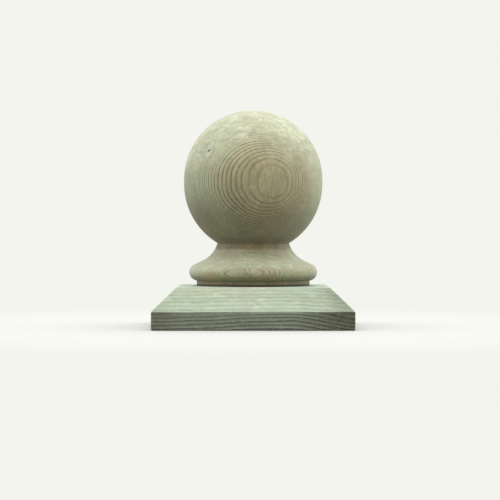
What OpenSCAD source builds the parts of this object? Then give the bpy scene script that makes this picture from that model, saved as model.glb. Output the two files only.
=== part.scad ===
// Fence post cap: a square weathered cap plate with a turned ball finial screwed on top.
// Millimetres. The origin is the middle of the plate's underside, where it sits on the post, and +Z is up.

/* [Cap plate] */
// Side of the square plate, across its upright edges
plate_w = 135; // [125:1:160]
// Height of the upright edge below the slopes
edge_h = 12.4; // [8:0.1:20]
// Rise of the four slopes above the edge
slope_h = 15.8; // [10:0.1:22]
// Side of the flat seat that the finial stands on
seat_w = 102; // [96:1:110]
// Flat taken off the plate's arrises
ease = 0.8; // [0.4:0.1:1.5]

/* [Post fixings] */
// Distance between the screw holes, both ways; the finial's foot covers all four
fixing_spacing = 44; // [36:1:45]
// Clearance hole for a 5 mm wood screw
fixing_d = 5.2; // [4.2:0.1:6]
// Countersink at the seat, for the screw's head
countersink_d = 10.4; // [9:0.1:11]

/* [Ball finial] */
// Height of the finial above the seat
finial_h = 120.3; // [115:0.1:130]
// Diameter of the ball
ball_d = 95; // [90:1:98]
// Straight band round the ball's equator
band_h = 3; // [0.5:0.5:5]
// Diameter of the neck where it meets the ball
neck_d = 49.2; // [46:0.2:54]
// Radius of the hollow curve below the neck
cove_r = 19; // [18:0.5:19.5]
// Height of the cove's centre above the top of the neck
cove_rise = 5.2; // [4:0.2:7]
// Diameter over the bead
bead_d = 87.8; // [86:0.2:92]
// Radius of the bead's round
bead_r = 5.8; // [5:0.1:6]
// Diameter of the foot under the bead
foot_d = 77.6; // [76:0.2:80]
// Height of the foot
foot_h = 3.5; // [3:0.5:5]
// Chamfer round the bottom of the foot
foot_chamfer = 0.6; // [0.3:0.1:1]

/* [Dowel screw] */
// Diameter over the thread
screw_d = 8; // [6:1:10]
// Diameter between the threads
screw_root_d = 5.6; // [3.8:0.1:5.8]
// Length from point to point
screw_len = 60; // [50:1:70]
// Rise of the thread in one turn
pitch = 3.5; // [3:0.5:4]
// Length of the plain middle
shank_len = 6; // [4:1:10]
// Length of each point
point_len = 6; // [4:1:8]
// Gap between the screw's point and the plate's underside
point_gap = 1; // [0.5:0.5:3]

/* [Hidden] */
$fn = 128;

fit_gap = 0.05;    // radial, between the dowel screw and its holes
over = 1;          // how far a cutter runs past the face that it cuts
seat_z = edge_h + slope_h;
hole_r = screw_d / 2 + fit_gap;
screw_in_plate = seat_z - point_gap;
screw_in_finial = screw_len - screw_in_plate;
drill_tip_h = hole_r * tan(31);

// The finial's outline, as [radius, height above the seat]
ball_r = ball_d / 2;
ball_top = [0, finial_h - ball_r];
ball_low = [0, ball_top.y - band_h];
neck = [neck_d / 2, ball_low.y - sqrt(pow(ball_r, 2) - pow(neck_d / 2, 2))];
cove = neck + [sqrt(pow(cove_r, 2) - pow(cove_rise, 2)), cove_rise];
bead_x = bead_d / 2 - bead_r;
bead = [bead_x, foot_h + sqrt(pow(bead_r, 2) - pow(foot_d / 2 - bead_x, 2))];

// The straight stretch that touches both the cove and the bead leaves them along this direction.
between = cove - bead;
touch_angle = atan2(between.y, between.x) - acos((cove_r + bead_r) / norm(between));
touch = [cos(touch_angle), sin(touch_angle)];

// Section through the plate, from one edge to the other
module plate_section() {
    half = plate_w / 2;
    slope_x = ease * sin(45);
    polygon([
        [-half + ease, 0], [half - ease, 0], [half, ease],
        [half, edge_h - slope_x], [half - slope_x, edge_h + slope_x * slope_h / (half - seat_w / 2)],
        [seat_w / 2, seat_z], [-seat_w / 2, seat_z],
        [-half + slope_x, edge_h + slope_x * slope_h / (half - seat_w / 2)], [-half, edge_h - slope_x],
        [-half, ease]
    ]);
}

// Places what follows at the four screw holes
module at_fixings() {
    for (x = [-1, 1], y = [-1, 1])
        translate([x, y, 0] * fixing_spacing / 2) children();
}

module fixing_hole() {
    sink_h = (countersink_d - fixing_d) / 2;
    translate([0, 0, -over]) cylinder(d = fixing_d, h = seat_z + 2 * over);
    translate([0, 0, seat_z - sink_h])
        cylinder(d1 = fixing_d, d2 = countersink_d + 2 * over, h = sink_h + over);
}

module cap_plate() {
    color("#8f9a7f") difference() {
        intersection() {
            rotate([90, 0, 0]) linear_extrude(plate_w + over, center = true) plate_section();
            rotate([90, 0, 90]) linear_extrude(plate_w + over, center = true) plate_section();
            rotate([0, 0, 45])
                cube([sqrt(2) * (plate_w - ease), sqrt(2) * (plate_w - ease), 3 * seat_z], center = true);
        }
        at_fixings() fixing_hole();
        translate([0, 0, -over]) cylinder(r = hole_r, h = seat_z + 2 * over);
    }
}

// Half of the finial's outline, without its hole
module finial_section() {
    intersection() {
        union() {
            translate(ball_top) circle(r = ball_r);
            translate(ball_low) circle(r = ball_r);
            translate([0, ball_low.y]) square([ball_r, band_h]);
        }
        square([ball_r + over, finial_h + over]);
    }
    difference() {
        polygon([
            [0, 0], [foot_d / 2 - foot_chamfer, 0], [foot_d / 2, foot_chamfer], [foot_d / 2, bead.y],
            bead + bead_r * touch, cove - cove_r * touch, cove, ball_low
        ]);
        translate(cove) circle(r = cove_r);
    }
    translate(bead) circle(r = bead_r);
}

module ball_finial() {
    color("#b3ab84") translate([0, 0, seat_z]) difference() {
        rotate_extrude() finial_section();
        translate([0, 0, -over]) cylinder(r = hole_r, h = screw_in_finial + 2 * over);
        translate([0, 0, screw_in_finial + over]) cylinder(r1 = hole_r, r2 = 0, h = drill_tip_h);
    }
}

// Threads of one end of the dowel screw, as [radius, height] from the shank to its point.
// Each turn of the thread is a ridge with flanks at 30 degrees.
function thread_outline(len) = let (
    root = screw_root_d / 2,
    crest = screw_d / 2,
    flank = (crest - root) * tan(30),
    land = 0.06 * pitch,
    room = len - shank_len / 2 - point_len,
    turns = floor(room / pitch)
) concat(
    [for (turn = [0:turns - 1], corner = [
        [root, -flank - land / 2], [crest, -land / 2], [crest, land / 2], [root, flank + land / 2]
    ]) [corner.x, shank_len / 2 + (turn + 0.5) * pitch + corner.y]],
    [[root, len - point_len], [0, len]]
);

module screw_end(len) {
    rotate_extrude() polygon(concat([[0, 0], [screw_root_d / 2, 0]], thread_outline(len)));
}

module dowel_screw() {
    color("#b8bcc0") translate([0, 0, seat_z]) union() {
        screw_end(screw_in_finial);
        mirror([0, 0, 1]) screw_end(screw_in_plate);
        cylinder(d = (screw_d + screw_root_d) / 2, h = shank_len, center = true);
    }
}

cap_plate();
dowel_screw();
ball_finial();
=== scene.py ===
"""Looks for a fence post cap: a weathered timber plate, a turned ball finial and its dowel screw.

Lengths in this script are millimetres until a mesh is made, and +Z is up from the plate's underside.
Growth rings are worked out once, in Python, for every vertex. A ring number rises by one from each ring to
the next, and both the relief in the mesh and the colour in the material come from it.
"""

import math

import bmesh
import bpy
import numpy as np
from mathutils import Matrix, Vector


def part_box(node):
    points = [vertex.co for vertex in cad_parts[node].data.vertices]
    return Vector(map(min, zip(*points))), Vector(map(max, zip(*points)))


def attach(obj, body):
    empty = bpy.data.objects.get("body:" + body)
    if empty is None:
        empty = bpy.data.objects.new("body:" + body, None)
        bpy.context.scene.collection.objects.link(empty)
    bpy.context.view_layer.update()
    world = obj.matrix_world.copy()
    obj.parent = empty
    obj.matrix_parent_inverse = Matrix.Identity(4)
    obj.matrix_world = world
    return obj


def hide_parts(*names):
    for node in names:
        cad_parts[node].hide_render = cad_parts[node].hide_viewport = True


MM = 0.001

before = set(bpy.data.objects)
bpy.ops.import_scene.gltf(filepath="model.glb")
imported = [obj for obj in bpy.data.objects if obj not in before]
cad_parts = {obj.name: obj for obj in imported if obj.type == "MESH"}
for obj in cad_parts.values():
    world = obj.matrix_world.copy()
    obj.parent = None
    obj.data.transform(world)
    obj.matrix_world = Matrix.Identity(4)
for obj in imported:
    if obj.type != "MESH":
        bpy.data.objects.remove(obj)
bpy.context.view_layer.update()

# ---------------------------------------------------------------- sizes, as in the CAD

plate_high = np.array(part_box("cap_plate")[1]) / MM
finial_high = np.array(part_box("ball_finial")[1]) / MM

# The cap plate: half its side, the seat's height, the upright edge's height and half the seat's side
HALF = plate_high[0]
SEAT_Z = plate_high[2]
EDGE_H = 12.4
SEAT_HALF = 51.0
FIXING_AT, FIXING_R, SINK_R = 22.0, 2.6, 5.2

# The finial, with heights above the seat
FINIAL_H = finial_high[2] - SEAT_Z
BALL_R = 47.5
BAND_H = 3.0
NECK_R = 24.6
COVE_R, COVE_RISE = 19.0, 5.2
BEAD_OUT, BEAD_R = 43.9, 5.8
FOOT_R, FOOT_H, FOOT_CHAMFER = 38.8, 3.5, 0.6
NECK_Z = FINIAL_H - BALL_R - BAND_H - math.sqrt(BALL_R**2 - NECK_R**2)

# The dowel screw, and its bore in the finial with the drill's cone at the end
SCREW_R, SCREW_ROOT_R, PITCH = 4.0, 2.8, 3.5
SCREW_LEN, SHANK, POINT = 60.0, 6.0, 6.0
SCREW_DOWN = SEAT_Z - 1
SCREW_UP = SCREW_LEN - SCREW_DOWN
BORE_R, BORE_DEPTH = 4.05, SCREW_UP + 1
DRILL_TIP = BORE_R * math.tan(math.radians(31))
THREAD_FLANK = (SCREW_R - SCREW_ROOT_R) * math.tan(math.radians(30))

# A point less than SKIN below the seat counts as on it.
SKIN = 0.3


# ---------------------------------------------------------------- noise and mesh helpers


def noise(points, size, seed, stretch=(1, 1, 1)):
    """Smooth noise from -1 to 1. size is the distance between its knots, in mm, and stretch lengthens it
    along an axis."""
    knots = 32
    lattice = np.random.default_rng(seed).uniform(-1, 1, (knots, knots, knots))
    p = points / (size * np.array(stretch, float))
    cell = np.floor(p).astype(int)
    f = p - cell
    f = f * f * (3 - 2 * f)
    total = np.zeros(len(points))
    for corner in np.ndindex(2, 2, 2):
        weight = np.prod(np.where(corner, f, 1 - f), axis=1)
        i, j, k = ((cell + corner) % knots).T
        total += weight * lattice[i, j, k]
    return total


def smooth(x, low, high):
    """0 at low and 1 at high, with an easy start and end."""
    t = np.clip((x - low) / (high - low), 0, 1)
    return t * t * (3 - 2 * t)


def bell(x, width):
    """1 at 0, falling away evenly on both sides over about a width."""
    return np.exp(-((x / width) ** 2))


def arc(centre, radius, start, end, step):
    """Points on an arc, start and end angles in degrees."""
    count = max(2, int(abs(math.radians(end - start)) * radius / step) + 1)
    a = np.radians(np.linspace(start, end, count))
    return np.c_[centre[0] + radius * np.cos(a), centre[1] + radius * np.sin(a)]


def line(start, end, step):
    start, end = np.array(start, float), np.array(end, float)
    count = max(2, int(np.linalg.norm(end - start) / step) + 2)
    return start + (end - start) * np.linspace(0, 1, count)[:, None]


def joined(*runs):
    """Runs of points end to end, without the points that would come twice."""
    points = np.concatenate(runs)
    keep = np.r_[True, np.linalg.norm(np.diff(points, axis=0), axis=1) > 1e-6]
    return points[keep]


def grid_faces(rows, columns):
    """Quads of a grid that closes on itself along its columns."""
    i, j = np.meshgrid(np.arange(rows - 1), np.arange(columns), indexing="ij")
    a, b = i * columns + j, i * columns + (j + 1) % columns
    return np.stack([a, b, b + columns, a + columns], -1).reshape(-1, 4)


def capped(rows, columns, first, last):
    """Faces of a closed surface: a grid, with a fan from its first row to the vertex `first` and from its
    last row to the vertex `last`."""
    j = np.arange(columns)
    k = (j + 1) % columns
    end = (rows - 1) * columns
    fans = [[first, b, a] for a, b in zip(j, k)] + [[last, end + a, end + b] for a, b in zip(j, k)]
    return [list(map(int, f)) for f in grid_faces(rows, columns)] + [list(map(int, f)) for f in fans]


def around_axis(radius, angle, height):
    """Points at a radius, an angle and a height about Z."""
    return np.stack([radius * np.cos(angle), radius * np.sin(angle), height + 0 * angle], -1).reshape(-1, 3)


def spun(outline, around, first_z, last_z):
    """Points and faces of a turned body. The outline, as [radius, height], runs downwards on the outside,
    from a point on the axis at first_z to another at last_z."""
    angle = np.arange(around) * 2 * math.pi / around
    grid = around_axis(outline[:, :1], angle, outline[:, 1:])
    points = np.r_[grid, [[0, 0, first_z], [0, 0, last_z]]]
    return points, [f[::-1] for f in capped(len(outline), around, len(grid), len(grid) + 1)]


def set_attributes(mesh, attributes):
    for key, values in attributes.items():
        mesh.attributes.new(key, "FLOAT", "POINT").data.foreach_set("value", np.asarray(values, np.float32))


def make_mesh(name, points, faces, sharp_deg):
    mesh = bpy.data.meshes.new(name)
    mesh.from_pydata(points * MM, [], faces)
    mesh.validate()
    mesh.shade_smooth()
    mesh.set_sharp_from_angle(angle=math.radians(sharp_deg))
    obj = bpy.data.objects.new(name, mesh)
    bpy.context.scene.collection.objects.link(obj)
    return obj


def points_of(mesh):
    co = np.empty(len(mesh.vertices) * 3)
    mesh.vertices.foreach_get("co", co)
    return co.reshape(-1, 3) / MM


def normals_of(mesh):
    n = np.empty(len(mesh.vertices) * 3)
    mesh.vertex_normals.foreach_get("vector", n)
    return n.reshape(-1, 3)


def set_points(mesh, points):
    mesh.vertices.foreach_set("co", (points * MM).ravel())
    mesh.update()


# ---------------------------------------------------------------- growth rings

# The finial's rings face this far to the right of the front, and ring 0 ends this deep in the ball, in mm.
FACING = math.radians(16.8)
FIRST_LOOP = 1.36
# How many rings are drawn, and which of them is numbered 0
RING_COUNT, RING_ZERO = 700, 60


def latewood(ring):
    """How dark and hard the wood is, 0 to 1. It builds up through a ring and stops short at its end."""
    part = ring - np.floor(ring)
    return smooth(part, 0.45, 0.9) * (1 - smooth(part, 0.97, 1.0))


def ring_number(depth, mean_width, spread, seed):
    """Ring number for a depth, 0 at depth 0, with each ring its own width."""
    rng = np.random.default_rng(seed)
    edges = np.cumsum(mean_width * rng.uniform(1 - spread, 1 + spread, RING_COUNT))
    return np.interp(depth, edges - edges[RING_ZERO], np.arange(RING_COUNT) - RING_ZERO)


def finial_rings(p):
    """The finial's rings: upright cylinders round a pith that is well behind it, so that the front of the
    ball is cut along the rings and shows them as closed loops, a little to the right of the middle."""
    pith_away, ball_middle, lean, mean = 205.0, 99, 0.0067, 0.92
    pith = pith_away * np.array([-math.sin(FACING), math.cos(FACING)])
    depth = pith_away + BALL_R - np.hypot(p[:, 0] - pith[0], p[:, 1] - pith[1])
    depth += finial_bend(p) + lean * (p[:, 2] - ball_middle)
    # The rings crowd together to the right of the loops' middle and spread out to the left.
    sideways = p[:, 0] * math.cos(FACING) + p[:, 1] * math.sin(FACING)
    depth *= 1 + 0.0122 * sideways * bell(depth, 43)
    # Lower down they face more to the front, and swirl beside a buried twig.
    depth += 0.2 * p[:, 0] * (1 - smooth(p[:, 2], 36, 56))
    swirl = (p - [-4.0, -43.5, 37.2]) / [2.7, 6.0, 2.3]
    depth += 2.0 * np.exp(-np.sum(swirl**2, axis=1))
    depth -= FIRST_LOOP
    return -ring_number(np.where(depth < 0, 0.5, 1) * depth, mean, 0.12, 11)


def finial_bend(p):
    """How far the finial's rings stray from true cylinders."""
    bend = 0.7 * noise(p, 55, 243, (1, 1, 2.2))
    wave = 0.2 * noise(p, 13, 244, (1, 1, 1.5)) + 0.09 * noise(p, 5, 245, (1, 1, 2.5))
    return bend + wave


def plate_rings(p):
    """The plate's rings lie nearly level, round a pith far below it that runs along X with a slight slope."""
    pith_y, pith_z, at_top, mean = -86.0, -185.0, 200, 2.45
    drift = 3.2 * smooth(p[:, 0], -75, 30) - 7.5 * smooth(p[:, 0], 22, 82)
    drift *= 1 - 0.7 * smooth(p[:, 2], 9, 15)
    drift += 0.4 * noise(p, 60, 21, (1.6, 1, 1)) + 0.32 * noise(p, 16, 22, (1.6, 1, 1))
    wave = 0.18 * noise(p, 7, 23, (2, 1, 1))
    radius = np.hypot(p[:, 1] - pith_y, p[:, 2] - pith_z)
    return ring_number(radius - drift + wave - at_top, mean, 0.25, 31)


def across(normal):
    """Two directions along the surface at each vertex."""
    spare = np.where(np.abs(normal[:, 2:]) > 0.9, [[1.0, 0, 0]], [[0, 0, 1.0]])
    u = np.cross(normal, spare)
    u /= np.linalg.norm(u, axis=1)[:, None]
    return u, np.cross(normal, u)


def width_of(points, normal, rings):
    """How wide one ring shows on the surface at each vertex, in mm."""
    step, steepest = 0.4, 1e-3
    along = [rings(points + step * a) - rings(points) for a in across(normal)]
    return step / np.maximum(np.hypot(*along), steepest)


# ---------------------------------------------------------------- the turned finial


def finial_outline(step):
    """[radius, height above the seat] from the top of the ball round to the end of the screw's hole."""
    top = FINIAL_H - BALL_R
    low = top - BAND_H
    neck = np.array([NECK_R, NECK_Z])
    cove = neck + [math.sqrt(COVE_R**2 - COVE_RISE**2), COVE_RISE]
    bead_x = BEAD_OUT - BEAD_R
    bead = np.array([bead_x, FOOT_H + math.sqrt(BEAD_R**2 - (FOOT_R - bead_x) ** 2)])
    between = cove - bead
    touch = math.atan2(between[1], between[0]) - math.acos((COVE_R + BEAD_R) / np.linalg.norm(between))
    touch_deg = math.degrees(touch)
    neck_deg = 180 + math.degrees(math.asin(COVE_RISE / COVE_R))
    foot_deg = -math.degrees(math.acos((FOOT_R - bead_x) / BEAD_R))
    direction = np.array([math.cos(touch), math.sin(touch)])
    foot_edge = (FOOT_R - FOOT_CHAMFER, 0)
    mouth = 0.5
    return joined(
        arc((0, top), BALL_R, 89.2, 0, step),
        line((BALL_R, top), (BALL_R, low), step),
        arc((0, low), BALL_R, 0, -math.degrees(math.acos(NECK_R / BALL_R)), step),
        arc(cove, COVE_R, neck_deg, touch_deg + 180, step * 0.8),
        line(cove - COVE_R * direction, bead + BEAD_R * direction, step),
        arc(bead, BEAD_R, touch_deg, foot_deg, step * 0.7),
        line((FOOT_R, FOOT_H), (FOOT_R, FOOT_CHAMFER), step),
        line((FOOT_R, FOOT_CHAMFER), foot_edge, step),
        line(foot_edge, (BORE_R + mouth, 0), 2.2),
        line((BORE_R + mouth, 0), (BORE_R, mouth), 0.5),
        line((BORE_R, mouth), (BORE_R, BORE_DEPTH), 1.5),
        line((BORE_R, BORE_DEPTH), (0.4, BORE_DEPTH + DRILL_TIP * 0.9), 1.0),
    )


def build_finial():
    around, mesh_step = 368, 0.86
    outline = finial_outline(mesh_step) + [0, SEAT_Z]
    points, faces = spun(outline, around, SEAT_Z + FINIAL_H, SEAT_Z + BORE_DEPTH + DRILL_TIP)
    obj = make_mesh("finial_turned", points, faces, sharp_deg=35)
    mesh = obj.data
    normal = normals_of(mesh)
    height = points[:, 2] - SEAT_Z
    radius = np.hypot(points[:, 0], points[:, 1])
    # Not the underside of the foot, nor the bore
    outside = (radius > FOOT_R - 1.5) | (height > 5)
    outside &= ~((radius < BORE_R + 1) & (height < BORE_DEPTH + 6))
    ring = finial_rings(points)
    width = width_of(points, normal, finial_rings)

    # The timber has moved a little since it was turned. Its rings stand up in relief only where they show wide
    # enough for the mesh to hold their shape.
    push = 0.14 * noise(points, 38, 41) + 0.05 * noise(points, 12, 42, (1, 1, 3))
    push += 0.075 * (latewood(ring) - 0.3) * smooth(width, 2.0, 4.0)
    push += 0.02 * noise(points, 2.2, 43, (1, 1, 5))
    # A pin knot on the upper left of the ball has shrunk into a pit.
    pin_knot = np.array([-29.6, -31.6, 119.9])
    gap = np.linalg.norm((points - pin_knot) / [1.3, 1.3, 0.7], axis=1)
    pit_depth = 0.4
    push -= pit_depth * bell(gap, 0.9)
    push[~outside] = 0
    push *= smooth(height, 0.3, 2.5)
    set_points(mesh, points + normal * push[:, None])
    marks = finial_marks(points, normal, gap)
    marks["ring"] = ring
    marks["ring_width"] = np.clip(width / 4 * (1 - 0.6 * smooth(16 - height, 0, 3)), 0, 2)
    marks["inside"] = 1.0 - outside
    set_attributes(mesh, marks)
    return obj


def finial_marks(points, normal, gap):
    """Where the finial is paler from sun bleaching and painted light, darker from painted shade, stained and
    so on, for its material. gap is the distance to the pin knot, in units of the knot's size."""
    height = points[:, 2] - SEAT_Z
    radius = np.hypot(points[:, 0], points[:, 1])
    lit = normal[:, 2]
    to_right = 0.24
    bullseye = np.array([math.sin(to_right), -math.cos(to_right), 0])
    heart = smooth(normal @ bullseye, 0.55, 0.95)
    foot_side = smooth(radius, 36, 38)
    # Painted shade where the ball meets the neck, on the upper neck under the ball and round the foot.
    painted_crease_shade = 1.6 * bell(height - NECK_Z + 0.5, 3.6) * (radius < 26.5)
    painted_crease_shade += 0.9 * bell(height - NECK_Z - 0.6, 2.4) + 0.5 * smooth(height, 16, 23) * (height < NECK_Z)
    painted_crease_shade += 1.15 * smooth(4.6 - height, 0, 1.6) * foot_side
    # Painted shade also darkens the ball low on its left and the bead on its right.
    sides = 0.65 * smooth(-lit, 0.05, 0.5) * smooth(-normal[:, 0], 0.3, 0.9) * (height > 20)
    sides += 0.2 * smooth(normal[:, 0], 0.4, 0.9) * (height < 14) * (height > 5)
    # Paler whatever faces up, partly sun bleaching and partly painted light; the extra paleness at the sides,
    # towards the back and most of all at the upper left is painted light.
    tilt = lit + 0.42 * np.abs(normal[:, 0]) + 0.12 * np.maximum(normal[:, 1], 0)
    tilt += 0.75 * np.maximum(-normal[:, 0], 0) * np.maximum(lit, 0)
    ball_rings = 0.6 + 0.35 * smooth(normal @ bullseye, 0.66, 0.92)
    pit = np.minimum(1.7 * bell(gap, 0.85), 1)
    # A painted shadow line, nearly black, round the bottom of the foot where it meets the seat.
    painted_foot_shadow_line = 0.85 * smooth(1.9 - height, 0, 1.1) * foot_side
    return {
        "bleach_and_painted_light": smooth(tilt, 0.18, 0.95) * (0.76 + 0.24 * smooth(height, 24, 40)),
        "heart": heart * smooth(height, 5, 14),
        # Painted shade: darker on faces that look down, in the creases and at the sides.
        "dirt_and_painted_shade": np.clip(1.1 * smooth(-lit, 0.1, 0.8) * (height > 1) + sides + painted_crease_shade, 0, 1.4),
        "stain": finial_stain(points),
        "clear": np.where(height < 30, 1.2, ball_rings * (1 - 0.35 * normal[:, 0])),
        "wear": smooth(radius, 42.6, 43.8) * (height < 15),
        "end": smooth(lit, 0.86, 1.0) * 0.35,
        "covered": (height < SKIN) * smooth(36.5 - radius, 0, 2),
        "knot_and_shadow_line": np.maximum(pit, painted_foot_shadow_line),
    }


def finial_stain(points):
    """Brown patches where resin has come out of the bead."""
    total = np.zeros(len(points))
    front = points[:, 1] < 0
    for x, z, wide, high in ((12.0, 35.8, 4.6, 2.3), (-27.5, 35.9, 6.0, 2.2), (-2.0, 35.9, 3.0, 0.9)):
        total += bell(points[:, 0] - x, wide) * bell(points[:, 2] - z, high) * front
    return total * (0.75 + 0.5 * noise(points, 3.5, 246, (1.5, 1, 1)))


# ---------------------------------------------------------------- the cap plate


def rounded_square(half, radius, side, corner):
    """Points round a square with rounded corners, counterclockwise from the -Y side. side and corner say how
    many points lie on each."""
    points = []
    for quarter in range(4):
        turn = quarter * math.pi / 2
        flat = np.c_[np.linspace(-1, 1, side) * (half - radius), np.full(side, -half)]
        a = np.radians(np.linspace(-90, 0, corner + 2)[1:-1])
        bend = np.c_[half - radius + radius * np.cos(a), -half + radius + radius * np.sin(a)]
        run = np.r_[flat, bend]
        c, s = math.cos(turn), math.sin(turn)
        points.append(run @ np.array([[c, s], [-s, c]]))
    return np.concatenate(points)


def plate_outline():
    """[half width, height, corner radius] from the seat's middle, over slope and edge, to the underside."""
    slope = math.degrees(math.atan2(SEAT_Z - EDGE_H, HALF - SEAT_HALF))
    upright = np.array([math.sin(math.radians(slope)), math.cos(math.radians(slope))])
    # Radii of the seat's edge, of the shoulder where slope and edge meet, and of the bottom edge
    soft, low, foot = 0.9, 0.5, 0.9
    # Half width of the innermost row, and the mesh's step on the weathered faces
    middle, fine = 1.5, 0.62
    top = np.array([SEAT_HALF - soft * math.tan(math.radians(slope / 2)), SEAT_Z - soft])
    shoulder = np.array([HALF - low, EDGE_H - low * math.tan(math.radians((90 - slope) / 2))])
    runs = joined(
        line((middle, SEAT_Z), (top[0], SEAT_Z), 1.3),
        arc(top, soft, 90, 90 - slope, 0.22),
        line(top + soft * upright, shoulder + low * upright, fine),
        arc(shoulder, low, 90 - slope, 0, 0.2),
        line((HALF, shoulder[1]), (HALF, foot), fine),
        arc((HALF - foot, foot), foot, 0, -90, 0.3),
        line((HALF - foot, 0), (middle, 0), 3.5),
    )
    corner = np.interp(runs[:, 0], [middle, 20, SEAT_HALF, HALF], [0.3, 0.4, 0.5, 0.9])
    return np.c_[runs, corner]


def drill(name, outline):
    """A closed cutter from a [radius, height] outline."""
    outline = np.array(outline)
    points, faces = spun(outline, 48, outline[0, 1], outline[-1, 1])
    return make_mesh(name, points, faces, sharp_deg=30)


def plate_drills():
    """Cutters for the four countersunk screw holes and the dowel screw's hole."""
    above, below = SEAT_Z + 1, -1
    sink_end = SEAT_Z - (SINK_R - FIXING_R)
    drills = []
    for x in (-1, 1):
        for y in (-1, 1):
            hole = drill(f"fixing_{x}_{y}", [[SINK_R + 1, above], [FIXING_R, sink_end], [FIXING_R, below]])
            hole.location = (x * FIXING_AT * MM, y * FIXING_AT * MM, 0)
            drills.append(hole)
    return drills + [drill("screw_hole", [[BORE_R, above], [BORE_R, below]])]


def check_cutter(name, start, direction, length, width, depth, seed):
    """A long thin wedge for a drying check in the plate's left or right side: it starts at a point near the
    bottom edge and wanders up the face along a direction."""
    rng = np.random.default_rng(seed)
    count, proud = 15, 1.0
    t = np.linspace(0, 1, count)
    direction = np.array(direction, float) / np.linalg.norm(direction)
    inward = np.array([-math.copysign(1, start[0]), 0, 0])
    side = np.cross(direction, inward)
    wander = np.cumsum(rng.normal(0, 0.16, count))
    half = width / 2 * np.sin(math.pi * np.clip(t * 0.94 + 0.03, 0, 1)) ** 0.6
    middle = np.array(start) + direction * (t * length)[:, None] + side * wander[:, None]
    out = middle - inward * proud
    left, right = out - side * half[:, None], out + side * half[:, None]
    floor = middle + inward * (depth * np.sin(math.pi * np.clip(t, 0.05, 0.95)))[:, None]
    points = np.stack([left, right, floor], 1).reshape(-1, 3)
    faces = []
    for i in range(count - 1):
        a, b = 3 * i, 3 * i + 3
        faces += [[b, b + 1, a + 1, a], [b + 1, b + 2, a + 2, a + 1], [b + 2, b, a, a + 2]]
    faces += [[0, 1, 2], [3 * count - 1, 3 * count - 2, 3 * count - 3]]
    return make_mesh(name, points, faces, sharp_deg=30)


def cut(obj, cutters):
    """Takes the cutters out of an object and removes them, and clears the slivers that this leaves."""
    sliver = 0.004 * MM
    for cutter in cutters:
        mod = obj.modifiers.new(cutter.name, "BOOLEAN")
        mod.operation, mod.solver, mod.object = "DIFFERENCE", "EXACT", cutter
    mesh = bpy.data.meshes.new_from_object(obj.evaluated_get(bpy.context.evaluated_depsgraph_get()))
    obj.modifiers.clear()
    clean = bmesh.new()
    clean.from_mesh(mesh)
    bmesh.ops.remove_doubles(clean, verts=clean.verts, dist=sliver)
    bmesh.ops.dissolve_degenerate(clean, edges=clean.edges, dist=sliver)
    clean.to_mesh(mesh)
    clean.free()
    obj.data = mesh
    for cutter in cutters:
        bpy.data.objects.remove(cutter)


def build_plate():
    rows = []
    for half, z, radius in plate_outline():
        square = rounded_square(half, min(radius, half * 0.4), side=132, corner=5)
        rows.append(np.c_[square, np.full(len(square), z)])
    around = len(rows[0])
    grid = np.concatenate(rows)
    points = np.r_[grid, [[0, 0, SEAT_Z], [0, 0, 0]]]
    faces = [f[::-1] for f in capped(len(rows), around, len(grid), len(grid) + 1)]
    obj = make_mesh("plate_board", points, faces, sharp_deg=60)

    # Weathering moves the surface before the holes are cut, so that the holes stay true.
    mesh = obj.data
    normal = normals_of(mesh)
    width = width_of(points, normal, plate_rings)
    x, y, z = np.abs(points).T
    arris = np.maximum(
        smooth(np.maximum(x, y), HALF - 1.6, HALF - 0.2) * smooth(z, EDGE_H - 1.6, EDGE_H),
        smooth(x, HALF - 1.6, HALF - 0.3) * smooth(y, HALF - 1.6, HALF - 0.3),
    )
    push = 0.1 * noise(points, 42, 51, (1.5, 1, 1)) + 0.03 * noise(points, 11, 52, (4, 1, 1))
    push += 0.1 * (latewood(plate_rings(points)) - 0.35) * smooth(width, 1.5, 3.0)
    push += 0.025 * noise(points, 2.0, 53, (6, 1, 1))
    push -= arris * (0.03 + 0.2 * np.clip(noise(points, 6, 54) + 0.1, 0, 1))
    # The seat is worn down by less, least of all under the foot, and the underside stays flat.
    under_foot = np.hypot(x, y) < FOOT_R + 0.8
    seat, underside = z > SEAT_Z - SKIN, z < 0.05
    clear_of_foot, worn_down = 0.01, 0.06
    push = np.where(seat & under_foot, -clear_of_foot, push)
    push = np.where(seat & ~under_foot, push * 0.5 - worn_down, push)
    push = np.where(underside, 0, push)
    moved = points + normal * push[:, None]
    moved[:, 2] = np.maximum(moved[:, 2], 0)
    set_points(mesh, moved)

    # Name, start, direction, length, width, depth and seed
    checks = [
        check_cutter("check_right", (HALF, 18.0, 1.9), (0, 0.5, 1), 10.5, 0.75, 3.0, 162),
        check_cutter("check_right_b", (HALF, -31.0, 3.5), (0, 0.3, 1), 6.5, 0.5, 2.0, 189),
        check_cutter("check_left", (-HALF, -9.0, 2.0), (0, 0.4, 1), 9.0, 0.65, 2.6, 146),
        check_cutter("check_left_b", (-HALF, 40.0, 3.5), (0, 0.6, 1), 6.0, 0.45, 2.0, 191),
    ]
    cut(obj, plate_drills() + checks)

    mesh = obj.data
    mesh.shade_smooth()
    mesh.set_sharp_from_angle(angle=math.radians(38))
    set_attributes(mesh, plate_marks(points_of(mesh), normals_of(mesh)))
    return obj


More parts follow.
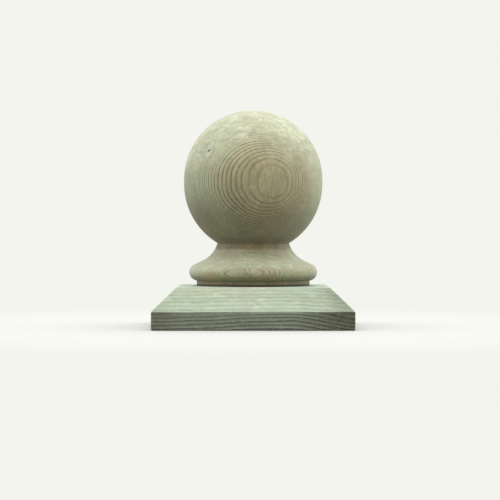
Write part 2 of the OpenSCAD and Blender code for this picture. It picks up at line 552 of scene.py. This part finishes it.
def plate_marks(points, normal):
    """The rings, and where the plate is paler from sun bleaching and painted light, darker from dirt and
    painted shade, worn and so on, for its material.
    """
    x, y, z = np.abs(points).T
    radius, far = np.hypot(x, y), np.maximum(x, y)
    hole = np.minimum(np.hypot(x - FIXING_AT, y - FIXING_AT) - SINK_R, radius - BORE_R)
    under_foot = smooth(FOOT_R + 1.2 - radius, 0, 3) * (z > SEAT_Z - SKIN)
    shoulder = smooth(far, HALF - 1.3, HALF - 0.3) * smooth(z, EDGE_H - 1.2, EDGE_H)
    seat_edge = bell(far - SEAT_HALF, 0.8) * (z > SEAT_Z - 1.2)
    return {
        "ring": plate_rings(points),
        "ring_width": np.clip(width_of(points, normal, plate_rings) / 4, 0, 1),
        # Paler on faces that look up: partly sun bleaching, partly painted light.
        "bleach_and_painted_light": smooth(normal[:, 2], 0.25, 0.8) * (1 - under_foot),
        "heart": 0.5 + 0.5 * noise(points, 45, 61, (2, 1, 1)),
        "dirt_and_painted_shade": plate_dirt_and_shade(points, normal),
        "wear": np.maximum(shoulder, seat_edge),
        "inside": smooth(-hole, -0.3, 0.3) * ((z > SKIN) & (z < SEAT_Z - 0.1)),
        "end": smooth(np.abs(normal[:, 0]), 0.55, 0.95) * 0.8,
        "covered": under_foot * smooth(37.2 - radius, 0, 3.5),
        "knot_and_shadow_line": np.zeros(len(points)),
        "stain": plate_stain(points),
        "clear": 1 + 0.5 * smooth(points[:, 0], 5, 55) * (z < EDGE_H),
    }


def plate_stain(points):
    """Yellowish bands where the treatment has washed out of the front slope."""
    side = bell(points[:, 0] + 22, 26)
    high = bell(points[:, 2] - 25.5, 2.2) * (points[:, 1] < -50)
    return side * high * (0.7 + 0.6 * noise(points, 8, 247, (3, 1, 1)))


def plate_dirt_and_shade(points, normal):
    """Darker: round the edge, from painted shade on its upright faces and from patchy staining, most of all at
    one end of it; on the slopes; painted shade underneath and along the bottom; and a painted contact shadow
    in a line where the foot meets the seat."""
    x, y, z = points.T
    radius = np.hypot(x, y)
    # Upright faces are darker: painted shade, with patchy staining and more towards the ends.
    upright = (1 - smooth(np.abs(normal[:, 2]), 0.2, 0.6)) * (z < EDGE_H)
    patchy = np.clip(0.4 + 0.6 * noise(points, 26, 62, (1.5, 1, 1)), 0, 1)
    corners = smooth(x - 0.3 * y, 44, 84) + 0.55 * smooth(-x - 0.2 * y, 55, 84)
    around = upright * (0.3 * patchy + corners * (1 - 0.6 * smooth(np.abs(normal[:, 0]), 0.5, 0.9)))
    slope = (z > EDGE_H - 0.5) * (z < SEAT_Z - SKIN)
    clouds = np.clip(noise(points, 19, 64, (1.4, 1, 1)) - 0.2, 0, 1)
    around += 0.3 * slope * (smooth(np.abs(x + 6), 40, 66) + clouds)
    hip = smooth(13 - np.abs(np.abs(x) - np.abs(y)), 0, 13) * smooth(x, 20, 50)
    around += 0.36 * slope * hip
    # Painted shade on faces that look down and along the bottom 2 mm.
    low = smooth(-normal[:, 2], 0.1, 0.9) * 0.5 + 0.35 * smooth(2.0 - z, 0, 2)
    # A painted contact shadow on the seat in a ring round the foot.
    painted_contact_shadow = smooth(radius, FOOT_R - 5, FOOT_R - 0.6) * smooth(FOOT_R + 4.6 - radius, 0, 4.4)
    painted_contact_shadow *= z > SEAT_Z - SKIN
    return np.clip(around + low + painted_contact_shadow * (1 + 0.4 * noise(points, 9, 63)), 0, 1.6)


# ---------------------------------------------------------------- the dowel screw


def build_screw():
    """A true helix between two tapering ends, with a plain shank in the middle."""
    around, step, blunt = 56, 0.14, 0.08
    half_land, play = 0.12, 0.02
    height = np.arange(-SCREW_DOWN + 0.15, SCREW_UP - 0.1, step)
    angle = np.arange(around) * 2 * math.pi / around
    z, a = np.meshgrid(height, angle, indexing="ij")
    to_end = np.where(z > 0, SCREW_UP - z, SCREW_DOWN + z)
    body = SCREW_ROOT_R * np.clip(to_end / POINT, 0, 1) ** 0.85
    body = np.where(np.abs(z) < SHANK / 2, (SCREW_R + SCREW_ROOT_R) / 2, body)
    turn = z / PITCH - a / (2 * math.pi)
    part = np.abs(turn - np.round(turn)) * PITCH
    crest = np.clip(1 - (part - half_land) / THREAD_FLANK, 0, 1)
    from_shank = smooth(np.abs(z), SHANK / 2 + 0.2, SHANK / 2 + 3.0)
    grow = from_shank * np.clip(to_end / (POINT * 0.9), 0, 1) ** 0.6
    r = body + (SCREW_R - play - body) * crest * grow
    grid = around_axis(np.maximum(r, blunt), a, z + SEAT_Z)
    points = np.r_[grid, [[0, 0, SEAT_Z - SCREW_DOWN], [0, 0, SEAT_Z + SCREW_UP]]]
    faces = capped(len(height), around, len(grid), len(grid) + 1)
    obj = make_mesh("screw_threaded", points, faces, sharp_deg=40)
    set_attributes(obj.data, {"crest": np.r_[(crest * grow).ravel(), 0, 0]})
    return obj


# ---------------------------------------------------------------- material helpers


class Nodes:
    """Short calls for building the node tree of a material or a world."""

    def __init__(self, owner):
        owner.use_nodes = True
        self.owner = owner
        self.tree = owner.node_tree
        self.shader = self.tree.nodes.get("Principled BSDF")

    def add(self, kind, **settings):
        node = self.tree.nodes.new("ShaderNode" + kind)
        for key, value in settings.items():
            setattr(node, key, value)
        return node

    def link(self, source, target):
        """Joins an output to an input, or gives the input a plain number, colour or vector."""
        if isinstance(source, (int, float)):
            target.default_value = source
        elif isinstance(source, tuple):
            opaque = (1,) * (len(target.default_value) - len(source))
            target.default_value = (*source, *opaque)
        else:
            self.tree.links.new(source, target)

    def math(self, operation, a, b=0.0, c=None, clamp=False):
        node = self.add("Math", operation=operation, use_clamp=clamp)
        self.link(a, node.inputs[0])
        self.link(b, node.inputs[1])
        if c is not None:
            self.link(c, node.inputs[2])
        return node.outputs[0]

    def attribute(self, name):
        return self.add("Attribute", attribute_name=name).outputs["Fac"]

    def noise(self, vector, scale, detail=2.0, rough=0.5, distortion=0.0):
        node = self.add("TexNoise")
        self.link(vector, node.inputs["Vector"])
        keys = ("Scale", "Detail", "Roughness", "Distortion")
        for key, value in zip(keys, (scale, detail, rough, distortion)):
            node.inputs[key].default_value = value
        return node.outputs["Fac"]

    def stretched(self, vector, factors):
        node = self.add("VectorMath", operation="MULTIPLY")
        self.link(vector, node.inputs[0])
        node.inputs[1].default_value = factors
        return node.outputs[0]

    def span(self, value, low, high, to_low=0.0, to_high=1.0):
        """A value's range taken smoothly to another, and held at its ends."""
        node = self.add("MapRange", interpolation_type="SMOOTHSTEP")
        keys = ("Value", "From Min", "From Max", "To Min", "To Max")
        for key, source in zip(keys, (value, low, high, to_low, to_high)):
            self.link(source, node.inputs[key])
        return node.outputs["Result"]

    def ramp(self, value, stops):
        node = self.add("ValToRGB")
        self.link(value, node.inputs["Fac"])
        ramp = node.color_ramp
        while len(ramp.elements) < len(stops):
            ramp.elements.new(0.5)
        for element, (at, colour) in zip(ramp.elements, stops):
            element.position = at
            element.color = (*colour, 1) if isinstance(colour, tuple) else (colour, colour, colour, 1)
        return node.outputs["Color"]

    def mix(self, factor, a, b, blend="MIX"):
        node = self.add("Mix", data_type="RGBA", blend_type=blend)
        factor_in, a_in, b_in, colour_out = 0, 6, 7, 2
        self.link(factor, node.inputs[factor_in])
        self.link(a, node.inputs[a_in])
        self.link(b, node.inputs[b_in])
        return node.outputs[colour_out]

    def tint(self, colour, mask, low, high, amount, other):
        """Mixes another colour in, up to an amount, where a mask goes from low to high."""
        return self.mix(self.span(mask, low, high, 0.0, amount), colour, other)

    def bump(self, height, strength, distance):
        node = self.add("Bump")
        node.inputs["Strength"].default_value = strength
        node.inputs["Distance"].default_value = distance
        self.link(height, node.inputs["Height"])
        self.link(node.outputs["Normal"], self.shader.inputs["Normal"])


def wood(name, grain, palette, contrast, seed):
    """Treated softwood. grain is the index of the axis that the fibres run along, and contrast is how
    strongly the rings show where they are narrow and where they are wide."""
    n = Nodes(bpy.data.materials.new(name))
    mm = n.add("VectorMath", operation="SCALE")
    n.link(n.add("TexCoord").outputs["Object"], mm.inputs[0])
    mm.inputs["Scale"].default_value = 1 / MM
    shifted = n.add("VectorMath", operation="ADD")
    n.link(mm.outputs[0], shifted.inputs[0])
    shifted.inputs[1].default_value = (seed, seed * 2.3, seed * 3.1)
    p = shifted.outputs[0]

    def along(length, across_grain):
        """The place, scaled so that noise of size 1 is this long and this wide in mm."""
        factors = [1 / across_grain] * 3
        factors[grain] = 1 / length
        return n.stretched(p, factors)

    # The dark part of each ring, stronger or weaker by the ring, by its width and by the dirt and painted
    # shade over it
    ring_wave = n.noise(along(30, 4), 1.0, 2)
    ring = n.math("ADD", n.attribute("ring"), n.math("MULTIPLY_ADD", ring_wave, 0.16, -0.08))
    part = n.math("FRACT", ring)
    number = n.math("FLOOR", ring)
    early_stops = [(0.0, 0.5), (0.05, 0.0), (palette["late_from"], 0.06)]
    late = n.ramp(part, early_stops + [(0.76, 0.5), (0.87, 1.0), (0.99, 1.0), (1.0, 0.5)])
    own = n.add("TexWhiteNoise", noise_dimensions="1D")
    n.link(number, own.inputs["W"])
    late = n.math("MULTIPLY", late, n.math("MULTIPLY_ADD", own.outputs["Value"], 0.45, 0.75))
    tight = n.span(n.attribute("ring_width"), 0.25, 0.95, contrast[0], contrast[1])
    dark = n.math("MULTIPLY", n.math("MULTIPLY", late, tight), n.attribute("clear"), clamp=True)
    dark = n.math("MULTIPLY", dark, n.span(n.attribute("ring_width"), 0.98, 1.3, 1.0, palette["broad"]))
    dark = n.math("MULTIPLY", dark, n.span(n.attribute("dirt_and_painted_shade"), 0.5, 1.3, 1.0, palette["hidden"]))

    # Noise of every size, along the grain
    fibre = n.noise(along(16, 0.55), 1.0, 4, 0.6)
    fine = n.noise(along(5, 0.16), 1.0, 3, 0.6)
    patch = n.noise(along(30, 14), 1.0, 3, 0.55)
    blotch = n.noise(along(7, 4.2), 1.0, 4, 0.6, 0.4)
    mottle = n.noise(n.stretched(p, (1 / 9, 1 / 3.8, 1 / 3.8)), 1.0, 4, 0.55, 0.7)
    cloud = n.noise(along(22, 11), 1.0, 4, 0.6, 0.5)
    grit = n.noise(along(2.4, 1.1), 1.0, 4, 0.65)
    streak = n.noise(along(60, 1.3), 1.0, 3, 0.6)
    pore = n.span(n.noise(along(3.2, 0.22), 1.0, 1), 0.66, 0.78)
    pore_end = n.noise(along(12, 0.45), 1.0, 3, 0.6)

    # Colour under the weathering, between the green of the treatment and the timber's own tan
    heart = n.math("ADD", n.attribute("heart"), n.math("MULTIPLY_ADD", patch, 1.5, -0.72), clamp=True)
    early_colour = n.mix(heart, palette["early_green"], palette["early_tan"])
    late_colour = n.mix(heart, palette["late_green"], palette["late_tan"])
    colour = n.mix(dark, early_colour, late_colour)
    colour = n.tint(colour, fibre, 0.35, 0.75, 0.42, late_colour)
    colour = n.tint(colour, blotch, 0.52, 0.75, 0.35, palette["pale"])

    # Paler on the upper faces, partly bleached by the sun and partly painted light
    bleach_and_painted_light = n.math("MULTIPLY", n.attribute("bleach_and_painted_light"), n.span(blotch, 0.2, 0.7, 0.72, 1.0))
    bleached_dark = n.math("MULTIPLY", dark, palette["bleach_rings"])
    bleached = n.mix(bleached_dark, palette["bleached"], palette["bleached_late"])
    bleached = n.tint(bleached, fibre, 0.4, 0.75, 0.4, palette["bleached_late"])
    bleached = n.tint(bleached, streak, 0.4, 0.68, palette["streaks"], palette["bleached_late"])
    bleached = n.tint(bleached, mottle, 0.44, 0.66, palette["mottled"], palette["bleached_late"])
    bleached = n.tint(bleached, cloud, 0.48, 0.66, palette["clouded"], palette["bleached_tan"])
    bleached = n.tint(bleached, mottle, 0.44, 0.3, 0.85, palette["bleached_pale"])
    colour = n.mix(n.math("MULTIPLY", bleach_and_painted_light, palette["bleach_and_painted_light"]), colour, bleached)

    # Worn edges, dirt and painted shade, end grain and stains
    worn = n.math("MULTIPLY", n.attribute("wear"), n.span(fine, 0.3, 0.7, 0.15, 0.6))
    colour = n.mix(worn, colour, palette["worn"])
    dirt_and_painted_shade = n.math("MULTIPLY", n.attribute("dirt_and_painted_shade"), n.span(blotch, 0.25, 0.65, 0.7, 1.0))
    # Darker where the dirt and painted shade mask is: the soaked colour multiplies, then the dirt colour mixes
    # in.
    soaked_and_shaded = n.math("MULTIPLY", dirt_and_painted_shade, palette["soak_and_shade"], clamp=True)
    colour = n.mix(soaked_and_shaded, colour, palette["soaked_and_shaded"], "MULTIPLY")
    colour = n.mix(n.math("MULTIPLY", dirt_and_painted_shade, palette["dirt_and_shade_amount"], clamp=True), colour, palette["dirt_and_painted_shade"])
    end = n.math("MULTIPLY", n.attribute("end"), n.span(pore_end, 0.35, 0.65, 0.25, 0.75))
    colour = n.mix(end, colour, palette["end"])
    stained = n.math("MULTIPLY", n.attribute("stain"), palette["stained"], clamp=True)
    colour = n.mix(stained, colour, palette["stain"])
    colour = n.mix(palette["toned"], colour, n.ramp(patch, [(0.36, 0.66), (0.64, 1.0)]), "MULTIPLY")
    colour = n.mix(n.math("MULTIPLY", pore, 0.35), colour, palette["late_tan"])
    colour = n.tint(colour, fine, 0.35, 0.7, 0.2, palette["late_green"])
    colour = n.tint(colour, grit, 0.5, 0.72, palette["gritty"], palette["pale"])
    colour = n.tint(colour, grit, 0.5, 0.28, 0.75 * palette["gritty"], palette["late_tan"])

    # Unweathered wood where another piece covers it and in the drilled holes, the pin knot, and a painted
    # shadow line round the bottom of the foot
    fresh = n.mix(n.math("MULTIPLY", dark, 0.62), palette["fresh"], palette["late_tan"])
    covered = n.math("MULTIPLY", n.attribute("covered"), n.span(blotch, 0.3, 0.7, 0.5, 0.85))
    colour = n.mix(covered, colour, fresh)
    colour = n.mix(n.attribute("knot_and_shadow_line"), colour, KNOT_AND_SHADOW_LINE)
    colour = n.mix(n.attribute("inside"), colour, palette["drilled"])
    n.link(colour, n.shader.inputs["Base Color"])

    # Late wood is smoother, the dirt and painted shade mask is rougher, and the fibres and pores stand out.
    rough = n.math("ADD", n.span(fibre, 0.3, 0.7, 0.62, 0.8), n.math("MULTIPLY", dark, -0.12))
    n.link(n.math("ADD", rough, n.math("MULTIPLY", dirt_and_painted_shade, 0.12), clamp=True), n.shader.inputs["Roughness"])
    n.shader.inputs["Specular IOR Level"].default_value = 0.35
    n.shader.inputs["Sheen Weight"].default_value = 0.18
    n.shader.inputs["Sheen Roughness"].default_value = 0.6

    height = n.math("MULTIPLY", dark, 0.55)
    height = n.math("ADD", height, n.math("MULTIPLY", fibre, 0.7))
    height = n.math("ADD", height, n.math("MULTIPLY", fine, 0.5))
    height = n.math("ADD", height, n.math("MULTIPLY", pore, -0.35))
    n.bump(height, 0.55, 0.22 * MM)
    return n.owner


# Linear colours, and how much of each effect shows. "late" is the dark part of a ring.
# Near black, for the pin knot's pit and for the painted shadow line round the foot.
KNOT_AND_SHADOW_LINE = (0.035, 0.025, 0.018)
FINIAL_COLOURS = {
    "early_green": (0.447, 0.492, 0.287),
    "early_tan": (0.488, 0.437, 0.237),
    "late_green": (0.12, 0.12, 0.06),
    "late_tan": (0.12, 0.08, 0.033),
    "pale": (0.62, 0.65, 0.45),
    "bleached": (0.77, 0.815, 0.585),
    "bleached_late": (0.34, 0.355, 0.21),
    "bleach_and_painted_light": 0.8,
    "bleach_rings": 0.85,
    "worn": (0.56, 0.54, 0.38),
    "broad": 0.5,
    "hidden": 0.35,
    # On the finial these darken painted shade only.
    "dirt_and_painted_shade": (0.15, 0.115, 0.052),
    "dirt_and_shade_amount": 0.56,
    "soaked_and_shaded": (0.8, 0.74, 0.66),
    "soak_and_shade": 0.5,
    "end": (0.3, 0.27, 0.16),
    "fresh": (0.5, 0.44, 0.27),
    "drilled": (0.5, 0.4, 0.22),
    "stain": (0.34, 0.23, 0.09),
    "stained": 0.9,
    "toned": 0.5,
    "gritty": 0.18,
    "late_from": 0.6,
    "streaks": 0.25,
    "mottled": 0.6,
    "clouded": 0.85,
    "bleached_tan": (0.58, 0.54, 0.35),
    "bleached_pale": (0.88, 0.9, 0.7),
}
PLATE_COLOURS = {
    "early_green": (0.32, 0.385, 0.28),
    "early_tan": (0.34, 0.36, 0.25),
    "late_green": (0.07, 0.08, 0.052),
    "late_tan": (0.095, 0.088, 0.055),
    "pale": (0.46, 0.53, 0.4),
    "bleached": (0.565, 0.675, 0.5),
    "bleached_late": (0.36, 0.44, 0.31),
    "bleach_and_painted_light": 0.92,
    "bleach_rings": 0.42,
    "worn": (0.5, 0.56, 0.42),
    "broad": 1.0,
    "hidden": 1.0,
    # On the plate these darken both dirt and painted shade.
    "dirt_and_painted_shade": (0.085, 0.085, 0.055),
    "dirt_and_shade_amount": 0.16,
    "soaked_and_shaded": (0.4, 0.385, 0.315),
    "soak_and_shade": 0.95,
    "end": (0.17, 0.185, 0.125),
    "fresh": (0.42, 0.42, 0.27),
    "drilled": (0.52, 0.43, 0.25),
    "stain": (0.5, 0.47, 0.28),
    "stained": 0.5,
    "toned": 0.2,
    "gritty": 0.26,
    "late_from": 0.35,
    "streaks": 0.3,
    "mottled": 0.14,
    "clouded": 0.3,
    "bleached_tan": (0.5, 0.54, 0.38),
    "bleached_pale": (0.66, 0.76, 0.6),
}


ZINC, DULL_ZINC, RUBBED_ZINC = (0.62, 0.62, 0.6), (0.52, 0.5, 0.43), (0.78, 0.78, 0.77)


def zinc():
    """Zinc plated steel, dulled in patches and rubbed bright on the thread's crests."""
    n = Nodes(bpy.data.materials.new("zinc_steel"))
    place = n.add("TexCoord").outputs["Object"]
    spot = n.noise(place, 900.0, 3, 0.6)
    cloud = n.noise(place, 160.0, 3, 0.5)
    colour = n.mix(n.span(cloud, 0.35, 0.65), ZINC, DULL_ZINC)
    rubbed = n.math("MULTIPLY", n.attribute("crest"), n.span(spot, 0.3, 0.7, 0.2, 0.8))
    colour = n.mix(rubbed, colour, RUBBED_ZINC)
    n.link(colour, n.shader.inputs["Base Color"])
    n.shader.inputs["Metallic"].default_value = 1.0
    n.link(n.span(spot, 0.25, 0.75, 0.28, 0.5), n.shader.inputs["Roughness"])
    n.bump(spot, 0.3, 0.05 * MM)
    return n.owner


# ---------------------------------------------------------------- the pieces

finial = build_finial()
finial.data.materials.append(wood("turned_softwood", 2, FINIAL_COLOURS, (1.15, 0.8), 3.0))
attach(finial, "finial")
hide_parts("ball_finial")

plate = build_plate()
plate.data.materials.append(wood("sawn_softwood", 0, PLATE_COLOURS, (1.0, 1.1), 17.0))
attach(plate, "plate")
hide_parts("cap_plate")

screw = build_screw()
screw.data.materials.append(zinc())
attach(screw, "screw")
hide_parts("dowel_screw")

# ---------------------------------------------------------------- floor, light and camera

scene = bpy.context.scene
scene.view_settings.view_transform = "Standard"
BACKGROUND = (0.896, 0.905, 0.855)
FLOOR = (0.575, 0.58, 0.547)


def build_floor():
    """A pale floor that takes the cap's shadow and turns into plain background further out. It shows from
    above only, so that the underside can be seen."""
    half_side, count, drop = 30000.0, 8, 0.03
    edge = np.linspace(-half_side, half_side, count)
    x, y = np.meshgrid(edge, edge, indexing="ij")
    points = np.c_[x.ravel(), y.ravel(), np.full(x.size, -drop)]
    faces = [
        [i * count + j, (i + 1) * count + j, (i + 1) * count + j + 1, i * count + j + 1]
        for i in range(count - 1)
        for j in range(count - 1)
    ]
    obj = make_mesh("floor", points, faces, sharp_deg=30)
    n = Nodes(bpy.data.materials.new("pale_floor"))
    distance = n.add("VectorMath", operation="LENGTH")
    n.link(n.add("TexCoord").outputs["Object"], distance.inputs[0])
    shadow_to, plain_from = 0.1, 0.42
    away = n.span(distance.outputs["Value"], shadow_to, plain_from)
    n.shader.inputs["Base Color"].default_value = (*FLOOR, 1)
    n.shader.inputs["Roughness"].default_value = 0.9
    n.shader.inputs["Specular IOR Level"].default_value = 0.1
    plain = n.add("Emission")
    plain.inputs["Color"].default_value = (*BACKGROUND, 1)
    mixed = n.add("MixShader")
    one_sided = n.add("MixShader")
    behind = n.add("NewGeometry").outputs["Backfacing"]
    clear = n.add("BsdfTransparent").outputs[0]
    for source, target in zip((away, n.shader.outputs[0], plain.outputs[0]), mixed.inputs):
        n.link(source, target)
    for source, target in zip((behind, mixed.outputs[0], clear), one_sided.inputs):
        n.link(source, target)
    n.link(one_sided.outputs[0], n.tree.nodes["Material Output"].inputs["Surface"])
    obj.data.materials.append(n.owner)
    obj.visible_diffuse = False
    obj.visible_glossy = False


def build_world():
    """A soft sky that is brighter above, behind and at both sides, and plain background where the camera
    sees it."""
    scene.world = bpy.data.worlds.new("studio")
    n = Nodes(scene.world)
    back = n.tree.nodes["Background"]
    direction = n.add("SeparateXYZ")
    n.link(n.add("TexCoord").outputs["Generated"], direction.inputs[0])
    x, y, z = direction.outputs
    up = n.ramp(
        n.math("MULTIPLY_ADD", z, 0.5, 0.5),
        [(0.0, 0.16), (0.42, 0.22), (0.52, 0.55), (0.75, 0.88), (1.0, 1.0)],
    )
    behind = n.span(y, -1.0, 0.8, 0.7, 1.1)
    sides = n.ramp(n.math("MULTIPLY_ADD", x, 0.5, 0.5), [(0.0, 1.12), (0.3, 0.62), (0.6, 0.65), (1.0, 1.2)])
    brightness = 2.4
    light = n.math("MULTIPLY", n.math("MULTIPLY", behind, sides), brightness)
    sky = n.mix(1.0, up, light, "MULTIPLY")
    seen = n.add("LightPath").outputs["Is Camera Ray"]
    n.link(n.mix(seen, sky, BACKGROUND), back.inputs["Color"])
    back.inputs["Strength"].default_value = 1.0


def build_lights():
    """A broad soft lamp above the cap, a little in front of it and to its left."""
    data = bpy.data.lights.new("overhead_softbox", "AREA")
    data.shape, data.size = "DISK", 1.4
    data.energy = 4.8
    lamp = bpy.data.objects.new("overhead_softbox", data)
    lamp.location = (-0.25, -0.35, 1.5)
    lamp.rotation_euler = (math.radians(-13), math.radians(-9), 0)
    scene.collection.objects.link(lamp)


def build_camera():
    """A long lens in front of the cap, a little above its neck."""
    to_side, distance, height = -2.1, 1620.0, 68.0
    data = bpy.data.cameras.new("camera")
    data.sensor_width = 36.0
    data.lens = 169.6
    data.clip_start, data.clip_end = 0.05, 200.0
    camera = bpy.data.objects.new("camera", data)
    camera.location = (to_side * MM, -distance * MM, height * MM)
    camera.rotation_euler = (math.radians(89.456), 0, 0)
    scene.collection.objects.link(camera)
    scene.camera = camera


build_floor()
build_world()
build_lights()
build_camera()
